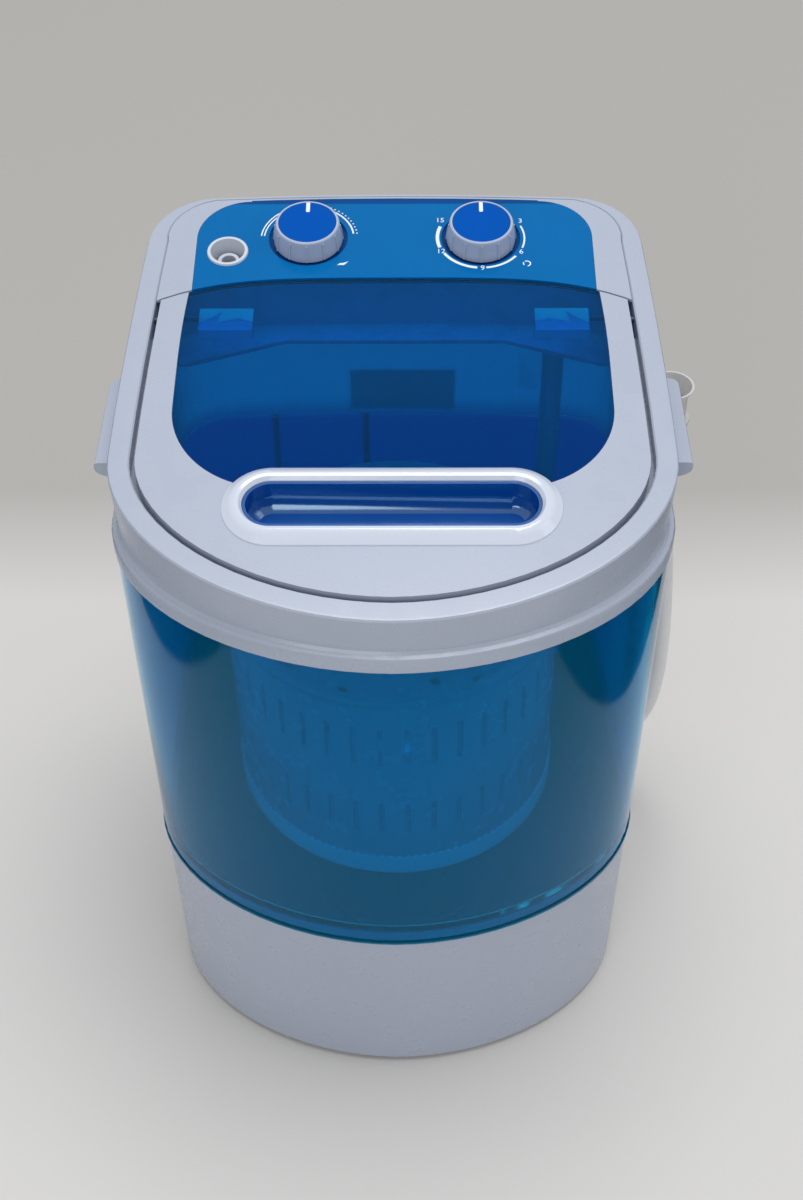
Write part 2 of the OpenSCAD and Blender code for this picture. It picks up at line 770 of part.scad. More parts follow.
// A ribbed knob with a sunk top for its coloured insert
module knob(x) {
    on_deck(x, knob_y) difference() {
        union() {
            rotate_extrude() polygon([
                [knob_r - 4, knob_foot], [knob_r + knob_flare, knob_foot],
                [knob_r + knob_flare, knob_foot + 2], [knob_r + 0.4, knob_h - 2],
                [knob_r, knob_h - 0.6], [knob_r - 0.6, knob_h], [insert_r + nest, knob_h],
                [insert_r + nest, knob_h - insert_t], [knob_shaft_r + run, knob_h - insert_t],
                [knob_shaft_r + run, knob_foot], [knob_shaft_r + 4, knob_foot],
                [knob_shaft_r + 4, knob_h - insert_t - 3], [knob_r - 3, knob_h - insert_t - 3]]);
            for (i = [0:knob_ribs - 1]) rotate([0, 0, i * 360 / knob_ribs])
                translate([knob_r + knob_flare, 0, knob_foot + 0.5])
                rotate([0, -rib_lean, 0]) translate([-1.5, -rib_w / 2, 0])
                cube([1.5 + rib_out, rib_w, knob_h - knob_foot - 3]);
        }
    }
}

module knob_insert(x) {
    on_deck(x, knob_y) difference() {
        translate([0, 0, knob_h - insert_t]) cylinder(r = insert_r, h = insert_t - 0.3);
        translate([-1.5, insert_r - 9, knob_h - 1]) cube([3, 12, 3]);
    }
}

module knob_shaft(x, h) {
    on_deck(x, knob_y) translate([0, 0, unit_top - h + 4])
        cylinder(r = knob_shaft_r, h = knob_h - insert_t - 0.3 - unit_top + h - 4);
}

module timer_knob() {
    color(white) knob(knob_x);
}

module timer_knob_insert() {
    color(knob_blue) knob_insert(knob_x);
}

module timer_shaft() {
    color(steel) knob_shaft(knob_x, timer_h);
}

module program_knob() {
    color(white) knob(-knob_x);
}

module program_knob_insert() {
    color(knob_blue) knob_insert(-knob_x);
}

module program_shaft() {
    color(steel) knob_shaft(-knob_x, switch_h);
}

// ---- Lid

module lid_shape(d) {
    intersection() {
        outline(lid_in + d, lid_in + d);
        seam_side(-seam_gap / 2, -1);
    }
}

// The window's opening: straight sides and round front corners, open to the back
module window_hole(gap) {
    r = window_r - gap;
    hw = window_hw - gap;
    front = window_front_y + gap;
    bend_y = front + r + (seam_y - front - r) / 3;
    polygon(concat([[-hw, front + r], [hw, front + r]],
        [for (i = [0:8]) [hw - window_draw * pow(i / 8, 2), bend_y + (seam_y - bend_y) * i / 8]],
        [[hw - window_draw, far], [-hw + window_draw, far]],
        [for (i = [8:-1:0]) [-hw + window_draw * pow(i / 8, 2), bend_y + (seam_y - bend_y) * i / 8]]));
    translate([-hw + r, front]) square([2 * (hw - r), r + 1]);
    for (sx = [-1, 1]) translate([sx * (hw - r), front + r]) circle(r = r);
}

// The same, ending at the seam
module window_shape(gap) {
    intersection() {
        seam_side(-seam_gap / 2, -1);
        window_hole(gap);
    }
}

module stadium(r) {
    square([2 * grip_hl, 2 * r], center = true);
    for (sx = [-1, 1]) translate([sx * grip_hl, 0]) circle(r = r);
}

module grip_hole() {
    on_deck(0, grip_y) translate([0, 0, -30]) linear_extrude(60) stadium(grip_r);
}

flange_t = 1.2;
module lid_frame() {
    color(white) difference() {
        deck_slab(-seat_drop + rest, 0) lid_shape(0);
        deck_slab(-seat_drop - 10, -lid_t - nest) intersection() {
            outline(lid_in + wall, lid_in + wall);
            translate([-far, -far]) square([2 * far, 2 * far]);
        }
        deck_slab(-20, 5) window_hole(0);
        grip_hole();
        on_hinge() rotate([0, 90, 0])
            cylinder(r = hinge_pin_r + run, h = 2 * half_w, center = true);
    }
}

module lid_window() {
    color(clear_blue) difference() {
        union() {
            deck_slab(-lid_t - nest, -0.3) window_shape(nest);
            deck_slab(-lid_t - nest - flange_t, -lid_t - nest) intersection() {
                window_shape(-6);
                seam_side(-seam_gap / 2 - 0.5, -1);
                outline(lid_in + wall + 1, lid_in + wall + 1);
            }
        }
        grip_hole();
        on_deck(0, grip_y) translate([0, 0, -30]) linear_extrude(60 - lid_t - nest - 27)
            stadium(grip_r + 4);
    }
}

// Sweeps a half section round the recess: straight runs and round ends
module round_grip() {
    for (s = [0, 1]) rotate([0, 0, 180 * s]) {
        translate([grip_hl, 0, 0]) rotate([0, 0, -90]) rotate_extrude(angle = 180) children();
        translate([-grip_hl, 0, 0]) rotate([90, 0, 90]) linear_extrude(2 * grip_hl) children();
    }
}

module handle_bezel() {
    color(white) on_deck(0, grip_y) round_grip() polygon([
        [grip_r + nest, 0], [bezel_r, 0], [bezel_r - 0.3, 1], [grip_r + 7, bezel_h - 0.8],
        [grip_r + 4.2, bezel_h], [grip_r + 2, bezel_h - 0.5], [grip_r + nest, bezel_h - 2.8]]);
}

module handle_cup() {
    t = 1.8;
    r = grip_r - nest;
    color(clear_blue) on_deck(0, grip_y) difference() {
        round_grip() polygon([
            [0, -grip_depth], [r - 9, -grip_depth], [r - 3, -grip_depth + 3.5],
            [r, -grip_depth + 11], [r, bezel_h - 3.4], [r - t, bezel_h - 3.4],
            [r - t, -grip_depth + 11], [r - 3 - t, -grip_depth + 5],
            [r - 9, -grip_depth + t], [0, -grip_depth + t]]);
    }
}

block_x2 = window_hw - 11;
block_x1 = block_x2 - 36;
module hinge_block() {
    color(clear_blue) difference() {
        intersection() {
            translate([block_x1, hinge_y - 14, hinge_z - 7]) cube([block_x2 - block_x1, 20, 20]);
            deck_layer(-60, -lid_t - nest - flange_t);
        }
        on_hinge() rotate([0, 90, 0]) cylinder(r = hinge_pin_r + run, h = far);
    }
}

module hinge_block_right() {
    hinge_block();
}

module hinge_block_left() {
    mirror([1, 0, 0]) hinge_block();
}

module hinge_pins() {
    color(steel) on_hinge() for (sx = [-1, 1]) rotate([0, 90 * sx, 0])
        translate([0, 0, block_x1 + 2]) cylinder(r = hinge_pin_r, h = hinge_out - block_x1 - 2);
}

// ---- Basket and pulsator

module on_axis(z) {
    translate([0, axis_y, z]) children();
}

module pulsator() {
    z0 = floor_top + 4.5;
    vane_top = basket_floor_z - rest - z0;
    color(clear_blue) on_axis(z0) difference() {
        union() {
            rotate_extrude() polygon([
                [0, 0], [pulsator_r - 4, 0], [pulsator_r, 2.5], [pulsator_r - 3, 4],
                [34, 3.5], [24, 8], [hub_r + 3, vane_top], [hub_r, vane_top + rest],
                [hub_r, vane_top + 18], [hub_r - 2, vane_top + 20], [0, vane_top + 20]]);
            for (i = [0:pulsator_vanes - 1]) rotate([0, 0, i * 360 / pulsator_vanes])
                pulsator_vane(vane_top);
        }
        translate([0, 0, -1]) cylinder(r = shaft_r + run, h = 26);
    }
}

// A curved vane that falls away towards the pulsator's edge
module pulsator_vane(h) {
    intersection() {
        translate([0, 60, 1]) difference() {
            cylinder(r = 62, h = h - 1);
            translate([0, 0, -1]) cylinder(r = 55, h = h + 2);
        }
        rotate_extrude() polygon([[10, 0], [pulsator_r - 8, 0], [pulsator_r - 8, 4], [52, h], [10, h]]);
        translate([0, 0, -1]) cube([far, 90, far]);
    }
}

slot_rows = [[46, 32], [120, 37]];
module spin_basket() {
    color([0.55, 0.75, 0.9]) on_axis(basket_z) difference() {
        rotate_extrude() polygon([
            [basket_r - basket_t - 2, 0], [basket_r + 0.6, 0], [basket_r + 0.6, basket_ring_h - 1],
            [basket_r - 0.6, basket_ring_h], [basket_r - 0.6, basket_h - 7],
            [basket_r + 3, basket_h - 6], [basket_r + 4, basket_h - 2], [basket_r + 2, basket_h],
            [basket_r - basket_t - 1, basket_h], [basket_r - basket_t - 2, basket_h - 5],
            [basket_r - basket_t - 1, basket_floor_up + 10], [basket_r - basket_t - 7, basket_floor_up + 3],
            [34, basket_floor_up + basket_floor_t], [22, basket_floor_up + 8],
            [hub_r + 3, basket_floor_up + 16], [hub_r + nest, basket_floor_up + 16],
            [hub_r + nest, basket_floor_up], [basket_r - basket_t - 6, basket_floor_up],
            [basket_r - basket_t - 2, basket_floor_up - 4]]);
        for (row = slot_rows, i = [0:basket_slots - 1]) rotate([0, 0, (i + 0.5) * 360 / basket_slots])
            translate([basket_r - 10, -slot_w / 2, row[0]]) cube([20, slot_w, row[1]]);
        for (r = [52, 78], i = [0:7]) rotate([0, 0, i * 45 + r]) translate([r, 0, basket_floor_up - 5])
            cylinder(r = 4, h = 20, $fn = 24);
    }
}

shaft_z = 20;
module drive_shaft() {
    color(steel) on_axis(shaft_z) rotate_extrude() polygon([
        [0, 0], [shaft_r - 0.8, 0], [shaft_r, 0.8], [shaft_r, floor_top + 28 - shaft_z],
        [0, floor_top + 28 - shaft_z]]);
}

bearing_r = 13;
bearing_w = 9;
housing_r = 21;
housing_z = 66;
flange_r = 46;
flange_pcd_r = 36;
housing_top = floor_top + 4;
seal_w = 10;
upper_z = housing_top - 1 - seal_w - bearing_w;
module bearing_housing() {
    color([0.55, 0.57, 0.60]) on_axis(0) difference() {
        union() {
            rotate_extrude() polygon([
                [shaft_r + 2.5, housing_z], [housing_r - 2, housing_z], [housing_r, housing_z + 2],
                [housing_r, floor_z - 14], [housing_r + 4, floor_z - 5], [flange_r, floor_z - 5],
                [flange_r, floor_z], [housing_spigot_r, floor_z], [housing_spigot_r, housing_top],
                [shaft_r + 2.5, housing_top]]);
            for (a = [45:90:315]) rotate([0, 0, a]) translate([0, 2, 0]) rotate([90, 0, 0])
                linear_extrude(4) polygon([[housing_r - 1, plate_top + 4], [flange_r - 2, floor_z - 6],
                    [flange_r - 2, floor_z - 4], [housing_r - 1, floor_z - 4]]);
        }
        translate([0, 0, housing_z - 1]) cylinder(r = bearing_r + run, h = bearing_w + 1);
        translate([0, 0, upper_z]) cylinder(r = bearing_r + run, h = 60);
        for (a = [0:90:270]) rotate([0, 0, a]) translate([flange_pcd_r, 0, floor_z - 10])
            cylinder(r = bolt_r + 0.2, h = 20);
    }
}

module ball_bearings() {
    color(steel) on_axis(0) for (z = [housing_z, upper_z]) translate([0, 0, z]) rotate_extrude() polygon([
        [shaft_r + run, 0], [bearing_r, 0], [bearing_r, bearing_w], [bearing_r - 2.4, bearing_w],
        [bearing_r - 2.4, bearing_w - 0.6], [shaft_r + 2, bearing_w - 0.6], [shaft_r + 2, bearing_w],
        [shaft_r + run, bearing_w]]);
}

module shaft_seal() {
    color(rubber) on_axis(upper_z + bearing_w) rotate_extrude() polygon([
        [shaft_r + 3, 0], [bearing_r, 0], [bearing_r, seal_w], [shaft_r + run, seal_w],
        [shaft_r + run, seal_w - 2], [shaft_r + 3, seal_w - 4]]);
}

// ---- Belt drive

// A grooved pulley with its hub, where r is the belt's inner radius
module pulley(r, bore_r, hub, web) {
    hw = pulley_w / 2;
    rotate_extrude() polygon(concat(
        [[bore_r + run, -hw - 3], [hub, -hw - 3]],
        r > 40 ? [[hub, -web / 2], [r - 10, -web / 2], [r - 10, -hw]] : [[hub, -hw]],
        [[r + belt_t + 2, -hw], [r + belt_t + 2, -hw + 2], [r - rest, -belt_w / 2 - 0.3],
        [r - rest, belt_w / 2 + 0.3], [r + belt_t + 2, hw - 2], [r + belt_t + 2, hw]],
        r > 40 ? [[r - 10, hw], [r - 10, web / 2], [hub, web / 2]] : [[hub, hw]],
        [[hub, hw + 3], [bore_r + run, hw + 3]]));
}

module driven_pulley() {
    color(dark_metal) on_axis(belt_z) difference() {
        pulley(belt_r1, shaft_r, 14, 4);
        for (i = [0:4]) rotate([0, 0, i * 72]) translate([34, 0, 0])
            cylinder(r = 13, h = 10, center = true);
    }
}

module motor_pulley() {
    color(steel) translate([0, motor_y, belt_z]) pulley(belt_r2, rotor_r, belt_r2 - 4, 6);
}

// Outline of an open belt round both pulleys, at offset e from its inner face
module belt_shape(e) {
    hull() {
        circle(r = belt_r1 + e, $fn = 120);
        translate([0, motor_back]) circle(r = belt_r2 + e, $fn = 48);
    }
}

module drive_belt() {
    color(rubber) on_axis(belt_z - belt_w / 2) linear_extrude(belt_w) difference() {
        belt_shape(belt_t);
        belt_shape(0);
    }
}

module rotor_shaft() {
    color(steel) translate([0, motor_y, shaft_z]) cylinder(r = rotor_r, h = motor_z + 60 - shaft_z);
}

module motor() {
    color(dark_metal) translate([0, motor_y, motor_z]) difference() {
        union() {
            rotate_extrude() polygon([
                [0, -8], [16, -8], [17, -2], [motor_r - 8, 2], [motor_r - 1, 9], [motor_r - 1, 22],
                [motor_r, 22], [motor_r, motor_h - 20], [motor_r - 1, motor_h - 20],
                [motor_r - 1, motor_h - 4], [motor_r - 4, motor_h], [0, motor_h]]);
            for (i = [0:11]) rotate([0, 0, i * 30]) translate([motor_r - 3, -1.5, 12])
                cube([4.5, 3, motor_h - 24]);
        }
        translate([0, 0, -10]) cylinder(r = rotor_r + run, h = 72);
    }
}

// Two posts stand beside the bearing flange and two beyond the motor
post_ring_1 = flange_r + post_r + 8;
post_ring_2 = motor_r + 9;
post_at = [[post_ring_1 * sin(30), post_ring_1 * cos(30)],
    [post_ring_2 * sin(45), motor_back + post_ring_2 * cos(45)]];
module each_post() {
    for (sx = [-1, 1], p = post_at) translate([sx * p.x, axis_y + p.y, 0]) children();
}

module mount_plate() {
    color(steel) on_axis(plate_z) linear_extrude(plate_t) difference() {
        hull() {
            circle(r = housing_r + 14);
            translate([0, motor_back]) circle(r = post_ring_2 + 7);
        }
        circle(r = housing_r + nest);
        translate([0, motor_back]) circle(r = 14);
        for (sx = [-1, 1], p = post_at) translate([sx * p.x, p.y]) circle(r = bolt_r + 0.2);
        translate([-9, 56]) square([18, 20]);
    }
}

module spacer_posts() {
    color(steel) each_post() translate([0, 0, plate_top]) difference() {
        cylinder(r = post_r, h = post_h);
        translate([0, 0, -1]) cylinder(r = bolt_r + 0.2, h = post_h - 4);
    }
}

module plate_bolts() {
    color(dark_metal) {
        each_post() bolt(plate_z, plate_t + 20);
        on_axis(0) for (a = [0:90:270]) rotate([0, 0, a]) translate([flange_pcd_r, 0, 0])
            bolt(floor_z - 5, 5);
    }
}

// A bolt with its hexagon head below z and its shank up from it
module bolt(z, len) {
    translate([0, 0, z - 3.5]) cylinder(r = 4.5, h = 3.5, $fn = 6);
    translate([0, 0, z]) cylinder(r = bolt_r, h = len);
}

module capacitor() {
    color([0.75, 0.75, 0.77]) translate([cap_at.x, cap_at.y, cover_top]) {
        rotate_extrude() polygon([[0, 0], [cap_r, 0], [cap_r, cap_h - 2], [cap_r - 2, cap_h], [0, cap_h]]);
        for (sx = [-1, 1]) translate([sx * 8 - 3, -0.5, cap_h]) cube([6, 1, 8]);
    }
}

// ---- Drain

pipe_bend = 22;
pipe_r = 11.5;
// Length of the outlet's spigot, from the pipe's end to its mouth
outlet_len = (outlet_mouth.x - port_at.x - pipe_bend * (1 + cos(outlet_turn))) / sin(outlet_turn);
// Height of the bend's centre, so that the pipe ends on the outlet's axis
bend_z = outlet_mouth.z + pipe_bend * sin(outlet_turn)
    - (outlet_mouth.x - port_at.x - pipe_bend * (1 + cos(outlet_turn))) / tan(outlet_turn);
module drain_pipe() {
    color(rubber) translate([port_at.x, port_at.y, bend_z]) {
        linear_extrude(floor_z - bend_z) pipe_section();
        translate([pipe_bend, 0, 0]) rotate([90, 0, 0]) rotate([0, 0, 180])
            rotate_extrude(angle = 180 - outlet_turn) translate([pipe_bend, 0]) pipe_section();
    }
}

module pipe_section() {
    difference() {
        circle(r = pipe_r);
        circle(r = spigot_r + run);
    }
}

module drain_outlet() {
    color(white) difference() {
        union() {
            on_outlet() translate([0, 0, -outlet_len]) cylinder(r = spigot_r, h = outlet_len);
            intersection() {
                on_outlet() translate([0, 0, -outlet_len]) cylinder(r = pipe_r + 1.5, h = 4);
                base_core(-wall - 1);
            }
            difference() {
                translate([150, outlet_y, outlet_mouth.z - 12]) rotate([0, 90, 0]) cylinder(r = 17, h = 22.5);
                base_core(nest / 2);
            }
        }
        on_outlet() translate([0, 0, -far / 2]) cylinder(r = spigot_r - spigot_t, h = far);
    }
}

hose_sides = 12;
hose_n = len(hose_route);
function unit(v) = v / norm(v);
function hose_dir(i) = i == 0 ? [sin(outlet_turn), 0, cos(outlet_turn)]
    : i == hose_n - 1 ? [0, 0, 1] : unit(hose_route[i + 1] - hose_route[i - 1]);
function hose_ring(i) = let (w = hose_dir(i), u = unit(cross([0, 1, 0], w)), v = cross(w, u))
    [for (k = [0:hose_sides - 1]) let (a = 360 * k / hose_sides)
        hose_route[i] + hose_r * (u * cos(a) + v * sin(a))];
module drain_hose() {
    color([0.86, 0.86, 0.84]) polyhedron(
        points = [for (i = [0:hose_n - 1]) each hose_ring(i)],
        faces = concat(
            [[for (k = [0:hose_sides - 1]) k]],
            [for (i = [0:hose_n - 2], k = [0:hose_sides - 1]) let (a = i * hose_sides, b = a + hose_sides,
                j = (k + 1) % hose_sides) each [[a + k, b + k, b + j], [a + k, b + j, a + j]]],
            [[for (k = [hose_sides - 1:-1:0]) (hose_n - 1) * hose_sides + k]]),
        convexity = 4);
}

hose_end = hose_route[hose_n - 1];
cuff_h = 33.5;
cuff_flare = 3.4;
cuff_wall = 3;
module hose_cuff() {
    neck_top = cuff_h - 7.5;
    color([0.88, 0.88, 0.86]) translate(hose_end) rotate_extrude() polygon([
        [0, 0], [hose_r + 0.8, 0], [cuff_r, 1.2], [cuff_r + 2.6, 2.6], [cuff_r + 3, 4.5], [cuff_r + 2.6, 6.4],
        [cuff_r, 8], [cuff_r, neck_top], [cuff_r + cuff_flare - 0.4, cuff_h - 0.8],
        [cuff_r + cuff_flare, cuff_h], [cuff_r + cuff_flare - 1.4, cuff_h], [cuff_r - cuff_wall, neck_top - 6],
        [cuff_r - cuff_wall, 8], [0, 8]]);
}

clip_t = 3;
clip_h = 14;
clip_z = rim_z - 5;
module hose_clip() {
    color(white) difference() {
        union() {
            translate([hose_end.x, hose_end.y, clip_z]) cylinder(r = cuff_r + rest + clip_t, h = clip_h);
            translate([half_w - 12, hose_end.y - 9, clip_z]) cube([12, 18, clip_h]);
        }
        translate([hose_end.x, hose_end.y, clip_z - 1]) cylinder(r = cuff_r + rest, h = clip_h + 2);
        translate([handle_reach - 0.1, hose_end.y - 40, clip_z - 1]) cube([40, 80, clip_h + 2]);
        translate([0, 0, clip_z - 1]) linear_extrude(clip_h + 2) outline(-nest / 2, -nest / 2);
    }
}

// ---- Wiring

module wiring_conduit() {
    color(white) translate([conduit_at.x, conduit_at.y, 0]) rotate_extrude() polygon([
        [conduit_r - 1.8, floor_z - 6], [conduit_r, floor_z - 6], [conduit_r, floor_top],
        [conduit_r + 3, floor_top], [conduit_r + 3, floor_top + 2], [conduit_r, floor_top + 2],
        [conduit_r, shelf_top + 6], [conduit_r - 1.8, shelf_top + 6]]);
}

module cord_gland() {
    color(rubber) translate([gland_x, gland_y, gland_z]) rotate([90, 0, 0]) rotate_extrude() polygon([
        [3.6, -8], [6, -8], [gland_r, -3.5], [gland_r + 3, -3.5], [gland_r + 3, -0.4],
        [gland_r, -0.4], [gland_r, 6], [gland_r - 1.5, 7.5], [3.6, 7.5]]);
}

base_housing();
bottom_cover();
rubber_feet();
cover_screws();
tub_shell();
top_deck();
carry_handle_left();
carry_handle_right();
console_surround();
control_panel();
water_inlet();
inlet_duct();
timer_unit();
program_switch();
timer_knob();
timer_knob_insert();
timer_shaft();
program_knob();
program_knob_insert();
program_shaft();
lid_frame();
lid_window();
handle_bezel();
handle_cup();
hinge_block_left();
hinge_block_right();
hinge_pins();
pulsator();
spin_basket();
drive_shaft();
bearing_housing();
ball_bearings();
shaft_seal();
driven_pulley();
drive_belt();
motor();
rotor_shaft();
motor_pulley();
mount_plate();
spacer_posts();
plate_bolts();
capacitor();
drain_strainer();
drain_pipe();
drain_outlet();
hose_clip();
drain_hose();
hose_cuff();
wiring_conduit();
cord_gland();
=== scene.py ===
import bpy
import json
import math
from mathutils import Matrix, Vector


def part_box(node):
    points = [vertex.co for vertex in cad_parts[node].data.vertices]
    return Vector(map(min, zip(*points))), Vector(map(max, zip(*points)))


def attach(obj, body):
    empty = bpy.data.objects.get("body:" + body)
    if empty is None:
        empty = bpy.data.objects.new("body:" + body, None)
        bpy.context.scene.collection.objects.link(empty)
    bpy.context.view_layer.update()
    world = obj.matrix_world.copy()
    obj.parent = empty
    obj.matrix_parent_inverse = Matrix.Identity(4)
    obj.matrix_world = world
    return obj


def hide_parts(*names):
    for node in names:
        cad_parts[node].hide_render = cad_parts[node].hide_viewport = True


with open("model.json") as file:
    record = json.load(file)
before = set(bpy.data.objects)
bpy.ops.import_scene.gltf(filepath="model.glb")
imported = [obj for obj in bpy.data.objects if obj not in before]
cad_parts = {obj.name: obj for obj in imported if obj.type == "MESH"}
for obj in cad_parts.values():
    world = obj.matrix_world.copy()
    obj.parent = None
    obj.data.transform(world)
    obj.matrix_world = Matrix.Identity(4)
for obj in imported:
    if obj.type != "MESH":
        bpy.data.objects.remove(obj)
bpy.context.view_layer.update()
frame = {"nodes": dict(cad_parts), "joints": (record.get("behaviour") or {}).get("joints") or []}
nodes = frame["nodes"]
pivot = {joint["name"]: joint["pos_m"] for joint in frame["joints"]}
scene = bpy.context.scene
scene.view_settings.view_transform = "Standard"

DEG = math.pi / 180
TILT = 9 * DEG  # slope of the deck, its console and the lid
KNOB_X, KNOB_Y = pivot["timer_turn"][:2]
DRIVE_Y = pivot["drive_spin"][1]

# ---- Camera, at the height and turn of the photograph

EYE = Vector((0.01393, -0.88597, 1.21966))
YAW, ROLL, DROP = -0.625 * DEG, 0.47 * DEG, 45.004 * DEG
LENS, SENSOR = 52.005, 36.0
NEAR_CLIP, FAR_CLIP = 0.01, 60.0


def place_camera():
    ahead = Vector((math.sin(YAW) * math.cos(DROP), math.cos(YAW) * math.cos(DROP), -math.sin(DROP)))
    level = Vector((math.cos(YAW), -math.sin(YAW), 0.0))
    down = ahead.cross(level)
    across = level * math.cos(ROLL) + down * math.sin(ROLL)
    below = -level * math.sin(ROLL) + down * math.cos(ROLL)
    data = bpy.data.cameras.new("camera")
    data.sensor_fit = "AUTO"
    data.sensor_width = SENSOR
    data.lens = LENS
    data.dof.use_dof = False
    data.clip_start = NEAR_CLIP
    data.clip_end = FAR_CLIP
    camera = bpy.data.objects.new("camera", data)
    scene.collection.objects.link(camera)
    turn = Matrix((across, -below, -ahead)).transposed().to_4x4()
    camera.matrix_world = Matrix.Translation(EYE) @ turn
    scene.camera = camera


place_camera()

# ---- Small helpers for pieces


def mm(*values):
    return tuple(v / 1000 for v in values)


def link(obj, body=None):
    scene.collection.objects.link(obj)
    if body:
        bpy.context.view_layer.update()
        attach(obj, body)
    return obj


def mesh_piece(name, verts, faces, mat, body, slot):
    me = bpy.data.meshes.new(name)
    me.from_pydata([tuple(v) for v in verts], [], faces)
    me.validate()
    me.update()
    me.materials.append(mat)
    obj = link(bpy.data.objects.new(name, me), body)


def loft(rings):
    """Vertices and faces of a closed skin over rings of equal count, with a cap at each end."""
    n = len(rings[0])
    verts = [v for ring in rings for v in ring]
    faces = [tuple(range(n))[::-1], tuple(range(len(verts) - n, len(verts)))]
    for lo in range(0, len(verts) - n, n):
        faces += [(lo + i, lo + (i + 1) % n, lo + n + (i + 1) % n, lo + n + i) for i in range(n)]
    return verts, faces


def joined(parts):
    """Several lofts as the vertices and faces of one mesh."""
    verts, faces = [], []
    for part_verts, part_faces in parts:
        start = len(verts)
        verts += part_verts
        faces += [tuple(i + start for i in face) for face in part_faces]
    return verts, faces


def spline(points, per):
    """A Catmull-Rom line through the points, with so many steps between each two."""
    p = [Vector(q) for q in points]
    p = [p[0] * 2 - p[1]] + p + [p[-1] * 2 - p[-2]]
    out = []
    for a, b, c, d in zip(p, p[1:], p[2:], p[3:]):
        for k in range(per):
            t = k / per
            out.append(0.5 * ((2 * b) + (c - a) * t + (2 * a - 5 * b + 4 * c - d) * t * t
                              + (3 * b - a - 3 * c + d) * t ** 3))
    out.append(p[-2])
    return out


# ---- Small helpers for node materials


def new_mat(name):
    m = bpy.data.materials.new(name)
    m.use_nodes = True
    nt = m.node_tree
    nt.nodes.clear()
    out = nt.nodes.new("ShaderNodeOutputMaterial")
    b = nt.nodes.new("ShaderNodeBsdfPrincipled")
    nt.links.new(b.outputs[0], out.inputs[0])
    co = nt.nodes.new("ShaderNodeTexCoord")
    return m, nt, b, co.outputs["Object"]


def noise(nt, co, scale, detail=2.0, rough=0.5, stretch=None):
    n = nt.nodes.new("ShaderNodeTexNoise")
    n.inputs["Scale"].default_value = scale
    n.inputs["Detail"].default_value = detail
    n.inputs["Roughness"].default_value = rough
    if stretch:
        mapping = nt.nodes.new("ShaderNodeMapping")
        mapping.inputs["Scale"].default_value = stretch
        nt.links.new(co, mapping.inputs["Vector"])
        co = mapping.outputs[0]
    nt.links.new(co, n.inputs["Vector"])
    return n.outputs["Fac"]


def spread(nt, fac, lo, hi, a=0.3, b=0.7):
    """Maps a..b, the middle of a noise unless said otherwise, to lo..hi."""
    r = nt.nodes.new("ShaderNodeMapRange")
    r.inputs["From Min"].default_value = a
    r.inputs["From Max"].default_value = b
    r.inputs["To Min"].default_value = lo
    r.inputs["To Max"].default_value = hi
    nt.links.new(fac, r.inputs["Value"])
    return r.outputs["Result"]


def mix(nt, fac, a, b):
    m = nt.nodes.new("ShaderNodeMix")
    m.data_type = "RGBA"
    for socket, v in ((m.inputs["A"], a), (m.inputs["B"], b)):
        if isinstance(v, tuple):
            socket.default_value = (*v, 1.0)
        else:
            nt.links.new(v, socket)
    nt.links.new(fac, m.inputs["Factor"])
    return m.outputs["Result"]


def bump(nt, b, height, strength, distance):
    n = nt.nodes.new("ShaderNodeBump")
    n.inputs["Strength"].default_value = strength
    n.inputs["Distance"].default_value = distance
    nt.links.new(height, n.inputs["Height"])
    nt.links.new(n.outputs[0], b.inputs["Normal"])


def math_node(nt, op, *values):
    n = nt.nodes.new("ShaderNodeMath")
    n.operation = op
    for socket, v in zip(n.inputs, values):
        if isinstance(v, (int, float)):
            socket.default_value = v
        else:
            nt.links.new(v, socket)
    return n.outputs[0]


def split_xyz(nt, vector):
    split = nt.nodes.new("ShaderNodeSeparateXYZ")
    nt.links.new(vector, split.inputs[0])
    return split.outputs


def srgb(r, g, b):
    def lin(c):
        c /= 255
        return c / 12.92 if c <= 0.04045 else ((c + 0.055) / 1.055) ** 2.4
    return (lin(r), lin(g), lin(b))


def darker(colour, share):
    return tuple(c * share for c in colour)


# ---- Kinds of material

REAR_FROM, REAR_TO = -0.07, 0.09  # from this y to that, a clear wall takes on its painted rear shade and light
STEP_FROM, STEP_TO = 0.355, 0.375  # between these heights the rear's painted shade gives way to its painted light


def moulded(name, colour, shade=0.94, rough=(0.24, 0.36), grain=0.02, pit=1500, spec=0.5):
    """Moulded plastic: faint flow shading, uneven gloss and a fine skin."""
    m, nt, b, co = new_mat(name)
    cloud = noise(nt, co, scale=9.0, detail=3.0, rough=0.55)
    gloss = noise(nt, co, scale=46.0, detail=4.0, rough=0.6)
    skin = noise(nt, co, scale=pit, detail=2.0, rough=0.6)
    tone = mix(nt, spread(nt, cloud, 0.0, 1.0), darker(colour, shade), colour)
    nt.links.new(tone, b.inputs["Base Color"])
    nt.links.new(spread(nt, gloss, *rough), b.inputs["Roughness"])
    b.inputs["Specular IOR Level"].default_value = spec
    bump(nt, b, skin, strength=grain, distance=0.0004)
    return m


